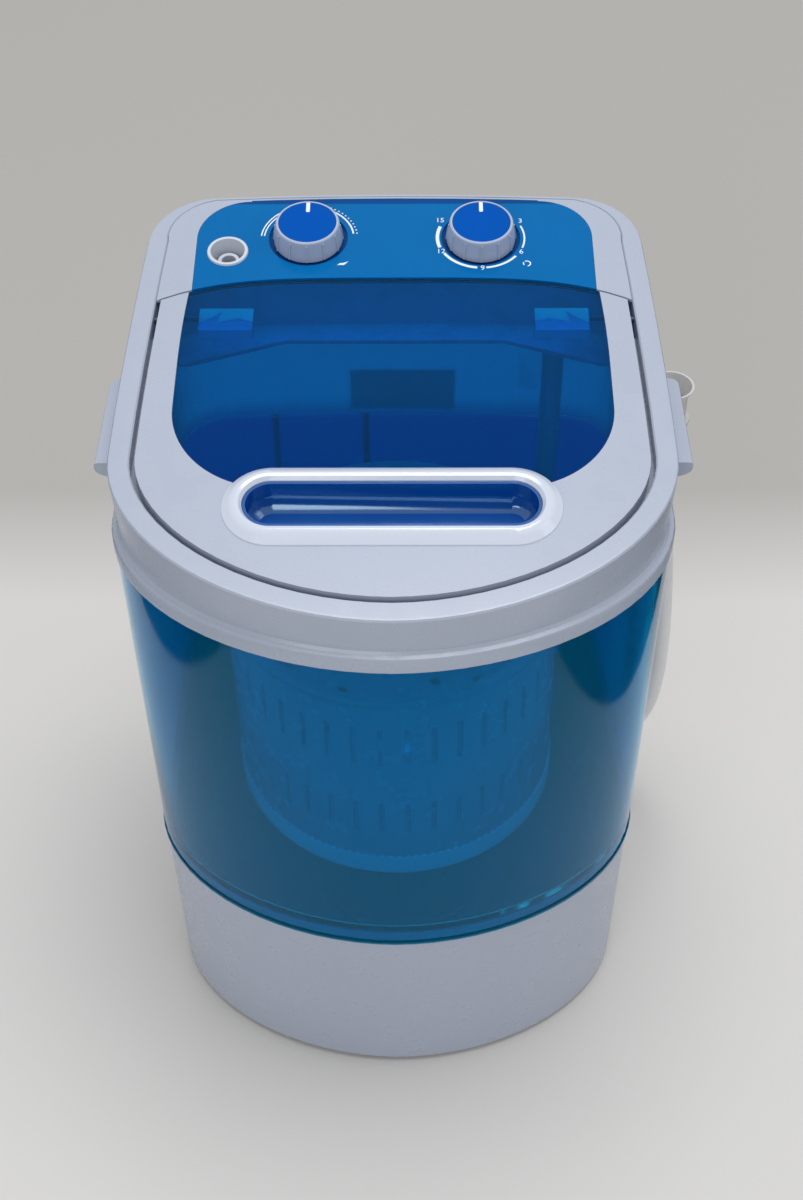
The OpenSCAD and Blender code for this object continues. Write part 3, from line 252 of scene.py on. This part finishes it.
def clear(name, colour, deep, clarity, rough=(0.03, 0.09), ior=1.5, level=0.5, tint=None,
          stretch=(1, 1, 1), rear=None):
    """See-through plastic with flow lines and uneven gloss; rear paints shade low and light high on its
    wall's rear.
    """
    m, nt, b, co = new_mat(name)
    flow = noise(nt, co, scale=7.0, detail=3.0, rough=0.55, stretch=stretch)
    tone = mix(nt, spread(nt, flow, 0.0, 1.0), deep, colour)
    if rear:
        _, y, z = split_xyz(nt, co)
        behind = spread(nt, y, 0.0, 1.0, REAR_FROM, REAR_TO)
        high = spread(nt, z, 0.0, 1.0, STEP_FROM, STEP_TO)
        # painted rear shade low and painted light high, blended in towards the back
        tone = mix(nt, behind, tone, mix(nt, high, *rear))
    nt.links.new(tone, b.inputs["Base Color"])
    gloss = noise(nt, co, scale=60.0, detail=3.0, rough=0.6)
    nt.links.new(spread(nt, gloss, *rough), b.inputs["Roughness"])
    b.inputs["Transmission Weight"].default_value = clarity
    b.inputs["IOR"].default_value = ior
    b.inputs["Specular IOR Level"].default_value = level
    if tint:
        b.inputs["Specular Tint"].default_value = (*tint, 1.0)
    ripple = noise(nt, co, scale=26.0, detail=2.0, rough=0.5)
    bump(nt, b, ripple, strength=0.02, distance=0.001)
    return m


def metal(name, colour, rough=(0.25, 0.45), stretch=(1, 1, 18)):
    """Bare metal with drawn lines, or even ones where stretch is alike each way."""
    m, nt, b, co = new_mat(name)
    lines = noise(nt, co, scale=60.0, detail=3.0, rough=0.6, stretch=stretch)
    nt.links.new(mix(nt, lines, darker(colour, 0.82), colour), b.inputs["Base Color"])
    nt.links.new(spread(nt, lines, *rough), b.inputs["Roughness"])
    b.inputs["Metallic"].default_value = 1.0
    bump(nt, b, lines, strength=0.08, distance=0.0004)
    return m


def soft(name, colour, rough=(0.55, 0.8), grain=0.3, scale=700):
    """Rubber and dull plastic: a grained skin with broad patches."""
    m, nt, b, co = new_mat(name)
    fine = noise(nt, co, scale=scale, detail=3.0, rough=0.6)
    wide = noise(nt, co, scale=22.0, detail=3.0, rough=0.6)
    nt.links.new(mix(nt, wide, darker(colour, 0.75), colour), b.inputs["Base Color"])
    nt.links.new(spread(nt, wide, *rough), b.inputs["Roughness"])
    bump(nt, b, fine, strength=grain, distance=0.0004)
    return m


# ---- The materials

WHITE = srgb(166, 174, 190)
white = moulded("white_shell", WHITE, shade=0.965)
white_deck = moulded("white_deck", WHITE, shade=0.97, rough=(0.22, 0.34))
# painted light: the bezel's white is lighter than the deck's, for its brightly lit front bevel
white_bezel = moulded("white_bezel", srgb(200, 207, 221), shade=0.98, rough=(0.10, 0.18), grain=0.01,
                      spec=0.7)
white_knob = moulded("white_knob", srgb(166, 177, 199), shade=0.95, rough=(0.28, 0.42), grain=0.06)
white_inner = moulded("white_inner", srgb(196, 202, 212), shade=0.95, rough=(0.3, 0.45), grain=0.05)
# the tub's rear pair is painted shade low and painted light high, for light coming through the rear wall
tub_blue = clear("tub_blue", (0.0, 0.47, 0.84), (0.0, 0.44, 0.80), clarity=0.89, ior=1.25, level=0.4,
                 tint=(0.0, 0.9, 1.0), stretch=(1, 1, 0.35), rear=((0.0, 0.05, 0.40), (0.0, 0.58, 0.95)))
window_blue = clear("window_blue", (0.0, 0.47, 1.0), (0.0, 0.45, 0.99), clarity=0.98, rough=(0.02, 0.05),
                    ior=1.42, level=0.3, tint=(0.0, 0.5, 1.0))
cup_blue = clear("cup_blue", (0.0, 0.075, 0.36), (0.0, 0.06, 0.31), clarity=0.15, rough=(0.10, 0.13),
                 ior=1.75, level=1.0, tint=(0.6, 0.85, 1.0))
hinge_blue = clear("hinge_blue", (0.02, 0.74, 0.90), (0.01, 0.70, 0.86), clarity=0.45, rough=(0.1, 0.2),
                   tint=(0.1, 0.7, 1.0))
basket_blue = clear("basket_blue", (0.12, 0.55, 0.66), (0.10, 0.52, 0.63), clarity=0.1, rough=(0.2, 0.3))
band_pale = moulded("band_pale", (0.75, 1.0, 1.0), shade=0.97, rough=(0.3, 0.4))
pulsator_blue = moulded("pulsator_blue", (0.01, 0.16, 0.55), shade=0.9, rough=(0.2, 0.32))
knob_blue = moulded("knob_blue", (0.0, 0.078, 0.40), shade=0.93, rough=(0.3, 0.42), spec=0.03)
print_white = moulded("print_white", srgb(225, 232, 242), shade=0.97, rough=(0.5, 0.6))
timer_grey = soft("timer_grey", (0.05, 0.052, 0.056), rough=(0.5, 0.65), grain=0.1)
switch_ivory = soft("switch_ivory", (0.62, 0.58, 0.44), rough=(0.45, 0.6), grain=0.08)
hose_grey = soft("hose_grey", srgb(236, 237, 237), rough=(0.38, 0.52), grain=0.06, scale=240)
cuff_grey = soft("cuff_grey", srgb(212, 211, 208), rough=(0.34, 0.48), grain=0.06, scale=240)
rubber = soft("rubber", (0.025, 0.025, 0.027))
steel = metal("steel", (0.58, 0.59, 0.61))
alloy = metal("alloy", (0.66, 0.67, 0.69), rough=(0.35, 0.55), stretch=(1, 1, 1))
pin_dark = metal("pin_dark", (0.10, 0.11, 0.14), rough=(0.5, 0.6), stretch=(1, 1, 1))
painted = moulded("painted_steel", (0.03, 0.034, 0.04), shade=0.8, rough=(0.35, 0.5), grain=0.1, pit=400)
liner_pale = clear("liner_pale", (0.30, 0.90, 1.0), (0.28, 0.88, 1.0), clarity=0.85, rough=(0.36, 0.40))
rib_blue = clear("rib_blue", (0.0, 0.03, 0.26), (0.0, 0.025, 0.22), clarity=0.3, rough=(0.2, 0.3))
plate_pale = clear("plate_pale", (0.62, 0.66, 0.72), (0.60, 0.64, 0.70), clarity=0.65,
                   rough=(0.38, 0.42))

WELL_IN, WELL_OUT = 0.0266, 0.0276  # the knob wells' shade fades out between these radii
EDGE_IN, EDGE_OUT = 0.0062, 0.0050  # the dark rear edge sets in between these, from the sheet's end


def panel_material():
    """The printed console sheet: clear blue over white, with painted shade in the knobs' wells, darker at
    the rear edge.
    """
    m, nt, b, co = new_mat("panel_blue")
    x, y, _ = split_xyz(nt, co)
    side = math_node(nt, "SUBTRACT", math_node(nt, "ABSOLUTE", x), KNOB_X)
    level = math_node(nt, "SUBTRACT", y, KNOB_Y)
    uphill = math_node(nt, "MULTIPLY", level, 1 / math.cos(TILT))  # the wells are round on the slope
    squares = [math_node(nt, "MULTIPLY", v, v) for v in (side, uphill)]
    radius = math_node(nt, "SQRT", math_node(nt, "ADD", *squares))
    well = spread(nt, radius, 1.0, 0.0, WELL_IN, WELL_OUT)
    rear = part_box("control_panel")[1][1]
    edge = spread(nt, y, 0.0, 1.0, rear - EDGE_IN, rear - EDGE_OUT)
    flow = spread(nt, noise(nt, co, scale=8.0, detail=3.0), 0.0, 1.0)
    tone = mix(nt, flow, (0.0, 0.165, 0.50), (0.0, 0.19, 0.56))
    tone = mix(nt, edge, tone, (0.0, 0.075, 0.33))
    nt.links.new(mix(nt, well, tone, (0.0, 0.05, 0.26)), b.inputs["Base Color"])
    gloss = noise(nt, co, scale=60.0, detail=3.0)
    nt.links.new(spread(nt, gloss, 0.08, 0.16), b.inputs["Roughness"])
    b.inputs["Transmission Weight"].default_value = 0.35
    b.inputs["IOR"].default_value = 1.5
    b.inputs["Specular Tint"].default_value = (0.05, 0.6, 1.0, 1.0)
    bump(nt, b, noise(nt, co, scale=500.0, detail=2.0), strength=0.02, distance=0.0003)
    return m


panel_blue = panel_material()

SKIN = {
    white: "base_housing carry_handle_left carry_handle_right hose_clip",
    white_deck: "top_deck lid_frame console_surround",
    white_bezel: "handle_bezel",
    white_knob: "timer_knob program_knob",
    white_inner: "bottom_cover water_inlet inlet_duct drain_strainer drain_outlet wiring_conduit",
    tub_blue: "tub_shell",
    window_blue: "lid_window",
    hinge_blue: "hinge_block_left hinge_block_right",
    cup_blue: "handle_cup",
    panel_blue: "control_panel",
    basket_blue: "spin_basket",
    pulsator_blue: "pulsator",
    knob_blue: "timer_knob_insert program_knob_insert",
    timer_grey: "timer_unit",
    switch_ivory: "program_switch",
    rubber: "rubber_feet shaft_seal drive_belt drain_pipe cord_gland",
    pin_dark: "hinge_pins",
    steel: "cover_screws timer_shaft program_shaft drive_shaft ball_bearings rotor_shaft "
           "mount_plate spacer_posts plate_bolts",
    alloy: "bearing_housing driven_pulley motor_pulley capacitor",
    painted: "motor",
    cuff_grey: "hose_cuff",
    hose_grey: "drain_hose",
}
for mat, names in SKIN.items():
    for name in names.split():
        for slot in nodes[name].material_slots:
            slot.material = mat

# ---- The solids shade smoothly across their small steps and stay sharp at real edges

WELD = 2e-6  # metres, enough to join the corners that neighbouring faces repeat
SHARP, CUP_SHARP = 27 * DEG, 35 * DEG  # the cup's flat facets are shaded over
BY_AREA = 50  # the weight at which each face counts by its area


def shade(name, obj):
    me = obj.data
    for marks in ("custom_normal", "sharp_edge", "sharp_face"):
        if me.attributes.get(marks):
            me.attributes.remove(me.attributes[marks])
    me.polygons.foreach_set("use_smooth", [True] * len(me.polygons))
    obj.modifiers.new("weld", "WELD").merge_threshold = WELD
    split = obj.modifiers.new("split", "EDGE_SPLIT")
    split.split_angle = CUP_SHARP if name == "handle_cup" else SHARP
    split.use_edge_sharp = False
    obj.modifiers.new("even", "WEIGHTED_NORMAL").weight = BY_AREA


for name, obj in nodes.items():
    shade(name, obj)

# ---- The drain hose: one smooth line from the outlet to the clip, on the source's route

ROUTE = [
    (181, 108, 54), (190.7, 107.3, 65.3), (198.5, 106, 78), (204.3, 104, 92), (208, 101.5, 106.5),
    (210, 98.5, 122), (210.9, 95, 142), (210.9, 91.5, 164), (210.2, 88, 186), (209, 84.5, 208),
    (207.4, 81, 231), (205.4, 78, 255), (203.2, 75.5, 279), (200.8, 73.5, 303), (198.4, 72, 327),
    (196.2, 70.8, 351), (194.3, 70, 375), (192.8, 69.6, 398), (192, 69.6, 420), (191.8, 69.6, 441),
]
HOSE_D = 0.021


def make_hose():
    line = spline([mm(*point) for point in ROUTE], per=5)
    curve = bpy.data.curves.new("drain_hose_line", "CURVE")
    curve.dimensions = "3D"
    run = curve.splines.new("POLY")
    run.points.add(len(line) - 1)
    for point, place in zip(run.points, line):
        point.co = (*place, 1.0)
    curve.bevel_depth = HOSE_D / 2
    curve.bevel_resolution = 6
    curve.use_fill_caps = True
    curve.materials.append(hose_grey)
    hose = link(bpy.data.objects.new("hose_line", curve), "housing")
    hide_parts("drain_hose")


make_hose()

# ---- Printed marks on the console: plain arcs, dots and the dial's numbers

FRONT_Y, FRONT_Z = -0.1827, 0.4987  # the deck's front line
INK = 0.00012  # how proud the print stands


def deck_frame(x, y, lift=0.0):
    """The place on the deck's slope above x and y, with its own z square to the deck."""
    z = FRONT_Z + math.tan(TILT) * (y - FRONT_Y)
    up = Vector((0, -math.sin(TILT), math.cos(TILT)))
    return Matrix.Translation(Vector((x, y, z)) + up * lift) @ Matrix.Rotation(TILT, 4, "X")


def arc(x, y, r0, r1, a0, a1, steps=None):
    """A thin raised arc about x and y on the deck, r0 to r1 in metres and a0 to a1 in degrees."""
    steps = steps or max(3, int(abs(a1 - a0) / 4))
    at = deck_frame(x, y)
    rings = []
    for i in range(steps + 1):
        a = (a0 + (a1 - a0) * i / steps) * DEG
        rings.append([at @ Vector((r * math.cos(a), r * math.sin(a), h))
                      for r, h in ((r0, 0.0), (r1, 0.0), (r1, INK), (r0, INK))])
    return loft(rings)


def print_piece(name, lofted, body="housing"):
    mesh_piece(name, *lofted, print_white, body, "white_plastic")


TIMER_ARCS = [(0.0288, 0.0312, 158, 199), (0.0288, 0.0308, 212, 264), (0.0290, 0.0306, 276, 322),
              (0.0295, 0.0307, 340, 383)]
SELECTOR_ARCS = [(0.0321, 0.0330, 128, 176), (0.0300, 0.0309, 126, 176), (0.0308, 0.0320, 8, 66)]
DOTS, DOT_FIRST, DOT_STEP, DOT_HALF = 11, 8, 5.6, 0.9  # how many, and angles in degrees
DOT_IN, DOT_OUT = 0.0334, 0.0343


def dot(i):
    middle = DOT_FIRST + i * DOT_STEP
    return arc(-KNOB_X, KNOB_Y, DOT_IN, DOT_OUT, middle - DOT_HALF, middle + DOT_HALF, steps=3)


print_piece("timer_marks", joined([arc(KNOB_X, KNOB_Y, *sizes) for sizes in TIMER_ARCS]))
selector_parts = [arc(-KNOB_X, KNOB_Y, *sizes) for sizes in SELECTOR_ARCS]
print_piece("selector_marks", joined(selector_parts + [dot(i) for i in range(DOTS)]))

NUMERALS = [("15", -28.0, 17.5), ("3", 27.8, 16.8), ("12", -27.6, -13.6), ("6", 27.4, -14.2),
            ("9", 0.6, -30.2)]  # each with its place from the timer's axis, in mm
NUMERAL_SIZE = 0.0062


def numeral(text, dx, dy):
    font = bpy.data.curves.new("mark_" + text, "FONT")
    font.body = text
    font.size = NUMERAL_SIZE
    font.align_x = "CENTER"
    font.align_y = "CENTER"
    font.extrude = INK / 2
    font.resolution_u = 3
    flat = bpy.data.objects.new("tmp_" + text, font)
    scene.collection.objects.link(flat)
    bpy.context.view_layer.update()
    me = bpy.data.meshes.new_from_object(flat.evaluated_get(bpy.context.evaluated_depsgraph_get()))
    bpy.data.objects.remove(flat)
    me.transform(deck_frame(KNOB_X, KNOB_Y) @ Matrix.Translation((dx, dy, INK / 2)))
    me.materials.clear()
    me.materials.append(print_white)
    obj = link(bpy.data.objects.new("dial_" + text, me), "housing")


for text, dx, dy in NUMERALS:
    numeral(text, *mm(dx, dy))

# ---- Two small plain signs: a turning arrow by the timer and a folded cloth by the selector

TURN_AT, TURN_IN, TURN_OUT = (0.0905, 0.1125), 0.0020, 0.0028
TURN_ARCS = [(-80, 120), (150, 215)]
CLOTH_AT = (-0.0355, 0.113)
CLOTH = [(-3.6, -1.6), (1.2, -1.6), (4.2, 1.9), (3.2, 1.4), (0.6, 0.3), (-1.4, 0.2)]  # in mm

print_piece("turn_sign", joined([arc(*TURN_AT, TURN_IN, TURN_OUT, *angles) for angles in TURN_ARCS]))
cloth_at = deck_frame(*CLOTH_AT)
print_piece("cloth_sign", loft([[cloth_at @ Vector((*mm(x, y), h)) for x, y in CLOTH]
                                for h in (0.0, INK)]))

# ---- White pointer bars on the two inserts

KNOB_HEIGHT, KNOB_R = 0.0144, 0.0217
INSERT_TOP, INSERT_R = KNOB_HEIGHT - 0.0003, KNOB_R - 0.0019
BAR_HALF, BAR_LENGTH, BAR_HEIGHT, BAR_SUNK = 0.00135, 0.0088, 0.0010, 0.0007
NOSE, NOSE_EASE = 0.0006, 0.0002  # the bar's rounded inner end, and how far its top stands back there
EASE = 0.8  # the edge starts to round at this share of the height, and the top keeps as much width


def pointer(body, knob_x):
    at = deck_frame(knob_x, KNOB_Y, INSERT_TOP - BAR_SUNK)
    w, y0, y1 = BAR_HALF, INSERT_R - BAR_LENGTH, INSERT_R
    ring = [(-w, y0), (-w * 0.5, y0 - NOSE), (w * 0.5, y0 - NOSE), (w, y0), (w, y1), (-w, y1)]
    top = [(x * EASE, y + (NOSE_EASE if y < y1 else 0)) for x, y in ring]
    levels = [(ring, 0.0), (ring, BAR_HEIGHT * EASE), (top, BAR_HEIGHT)]
    print_piece(body + "_pointer", loft([[at @ Vector((x, y, h)) for x, y in points]
                                         for points, h in levels]), body)


pointer("timer", KNOB_X)
pointer("program", -KNOB_X)

# ---- On the tub's rear wall: a pale liner and two slim ribs inside, and a bare plate outside

WALL_Y = 0.03  # middle of the rear wall's curve
WALL_STEP = 3 * DEG


def wall_line(height, reach):
    """The outermost corner of the tub in each step of angle, near one height of its rear half."""
    best = {}
    for v in nodes["tub_shell"].data.vertices:
        p = v.co
        if abs(p.z - height) < reach and p.y > WALL_Y:
            k = round(math.atan2(p.y - WALL_Y, p.x) / WALL_STEP)
            r = math.hypot(p.x, p.y - WALL_Y)
            if k not in best or r > best[k][0]:
                best[k] = (r, p)
    return {k: p for k, (r, p) in best.items()}


low = wall_line(height=0.1955, reach=0.02)
high = wall_line(height=0.4555, reach=0.004)


def tub_ring(z, inset):
    """The tub's outer wall line at height z, moved inward, for its rear half, from left to right."""
    out = []
    for k in sorted(set(low) & set(high), reverse=True):
        p = low[k].lerp(high[k], (z - low[k].z) / (high[k].z - low[k].z))
        outward = Vector((p.x, p.y - WALL_Y, 0)).normalized()
        out.append(Vector((p.x, p.y, z)) - outward * inset)
    return out


def rear_y(z, x):
    """Where the tub's rear wall stands, outside, at height z and place x."""
    ring = sorted(tub_ring(z, 0.0), key=lambda p: p.x)
    for a, b in zip(ring, ring[1:]):
        if a.x <= x <= b.x:
            return a.y + (b.y - a.y) * (x - a.x) / max(b.x - a.x, 1e-9)
    return ring[0].y


def sheet(name, rows, mat, slot):
    """A thin curved sheet: rows are its long edges in turn, each from left to right."""
    n, turns = len(rows[0]), len(rows)
    verts = [v for row in rows for v in row]
    faces = []
    for r in range(turns):
        lo, hi = r * n, (r + 1) % turns * n
        faces += [(lo + i, lo + i + 1, hi + i + 1, hi + i) for i in range(n - 1)]
    faces.append(tuple(r * n for r in range(turns))[::-1])
    faces.append(tuple(r * n + n - 1 for r in range(turns)))
    mesh_piece(name, verts, faces, mat, "housing", slot)


LINER_FROM, LINER_TO = 0.3620, 0.4520
LINER_BACK, LINER_FACE = 0.0042, 0.0056  # depths in from the wall's outside
LINER_EDGES = [(LINER_FROM, LINER_BACK), (LINER_FROM, LINER_FACE), (LINER_TO, LINER_FACE),
               (LINER_TO, LINER_BACK)]
sheet("rear_liner", [tub_ring(z, depth) for z, depth in LINER_EDGES], liner_pale, "pale_blue")

RIB_X = (-0.0955, -0.0245)
RIB_Z = (0.206, 0.258, 0.310, 0.3615)
RIB_PROFILE = [(-0.0030, 0.0036), (0.0030, 0.0036), (0.0020, 0.0080), (0.0006, 0.0086),
               (-0.0006, 0.0086), (-0.0020, 0.0080)]  # across, and in from the wall's outside


def rib_ring(x, z):
    y = rear_y(z, x)
    return [Vector((x + dx, y - depth, z)) for dx, depth in RIB_PROFILE]


for k, x in enumerate(RIB_X):
    rib = loft([rib_ring(x, z) for z in RIB_Z])
    mesh_piece("rear_rib_" + str(k), *rib, rib_blue, "housing", "clear_blue")

PLATE_LEFT, PLATE_WIDTH, PLATE_STEPS = -0.036, 0.081, 8
PLATE_EDGES = [(0.3640, 0.0001), (0.3632, 0.0006), (0.4008, 0.0006), (0.4000, 0.0001)]
plate_x = [PLATE_LEFT + PLATE_WIDTH * i / PLATE_STEPS for i in range(PLATE_STEPS + 1)]
sheet("blank_plate", [[Vector((x, rear_y(z, x) + proud, z)) for x in plate_x]
                      for z, proud in PLATE_EDGES], plate_pale, "white_plastic")

# ---- The basket's lower balance ring is a paler plastic than its wall

RING_HEIGHT, RING_IN = 0.0186, 0.112


def tint_ring():
    basket = nodes["spin_basket"].data
    basket.materials.append(band_pale)
    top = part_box("spin_basket")[0][2] + RING_HEIGHT
    for face in basket.polygons:
        x, y, z = face.center
        if z < top and math.hypot(x, y - DRIVE_Y) > RING_IN:
            face.material_index = len(basket.materials) - 1


tint_ring()

# ---- Stage: a pale paper floor with painted shade far behind, and beyond its edges a painted reflection of a dark room, in gloss only

FLOOR_HALF = 6.0
FAR_FROM, FAR_TO = 0.33, 0.50  # from this y to that, painted shade turns the paper darker, for the shaded backdrop
RIGHT_EDGE, LEFT_EDGE = (0.02, 0.467), (-0.155, -0.541)  # x of the paper's edges: slope and offset over y
EDGE_BLUR = 0.004
# the colour of the painted reflection of the dark room
DARK = (0.01, 0.01, 0.012, 1)


def paper():
    m, nt, b, co = new_mat("paper")
    geo = nt.nodes.new("ShaderNodeNewGeometry")
    x, y, _ = split_xyz(nt, geo.outputs["Position"])
    # painted shade: the far paper darker, for the shaded backdrop
    far = spread(nt, y, 0.0, 1.0, FAR_FROM, FAR_TO)
    nt.links.new(mix(nt, far, srgb(205, 203, 200), srgb(173, 170, 166)), b.inputs["Base Color"])
    b.inputs["Roughness"].default_value = 0.9
    b.inputs["Specular IOR Level"].default_value = 0.1
    right = math_node(nt, "SUBTRACT", x, math_node(nt, "MULTIPLY_ADD", y, *RIGHT_EDGE))
    left = math_node(nt, "SUBTRACT", math_node(nt, "MULTIPLY_ADD", y, *LEFT_EDGE), x)
    outside = spread(nt, math_node(nt, "MAXIMUM", right, left), 0.0, 1.0, -EDGE_BLUR, EDGE_BLUR)
    # painted reflection: glossy rays outside the paper's edges see a dark room
    ray = nt.nodes.new("ShaderNodeLightPath")
    room = nt.nodes.new("ShaderNodeBsdfDiffuse")
    room.inputs["Color"].default_value = DARK
    blend = nt.nodes.new("ShaderNodeMixShader")
    nt.links.new(math_node(nt, "MULTIPLY", outside, ray.outputs["Is Glossy Ray"]), blend.inputs[0])
    nt.links.new(b.outputs[0], blend.inputs[1])
    nt.links.new(room.outputs[0], blend.inputs[2])
    nt.links.new(blend.outputs[0], nt.nodes["Material Output"].inputs[0])
    return m


def lay_floor():
    s = FLOOR_HALF
    me = bpy.data.meshes.new("floor")
    me.from_pydata([(-s, -s, 0), (s, -s, 0), (s, s, 0), (-s, s, 0)], [], [(0, 1, 2, 3)])
    me.materials.append(paper())
    link(bpy.data.objects.new("floor", me))


SKY, SKY_LEVEL = (0.95, 0.97, 1.0, 1), 0.58


def light_room():
    world = bpy.data.worlds.new("room")
    scene.world = world
    world.use_nodes = True
    background = world.node_tree.nodes["Background"]
    background.inputs["Color"].default_value = SKY
    background.inputs["Strength"].default_value = SKY_LEVEL


AIM = Vector((0, 0, 0.3))  # the point that every lamp faces


def lamp(name, at, size, power):
    data = bpy.data.lights.new(name, "AREA")
    data.shape = "RECTANGLE"
    data.size, data.size_y = size
    data.energy = power
    obj = bpy.data.objects.new(name, data)
    scene.collection.objects.link(obj)
    obj.location = at
    obj.rotation_euler = (AIM - Vector(at)).to_track_quat("-Z", "Y").to_euler()


lay_floor()
light_room()
lamp("overhead", (0.5, 0.6, 7.0), size=(4.2, 3.4), power=275)
lamp("side", (2.4, -0.6, 2.2), size=(1.2, 1.2), power=5)
lamp("front", (-0.8, -2.6, 1.8), size=(1.6, 1.0), power=16)
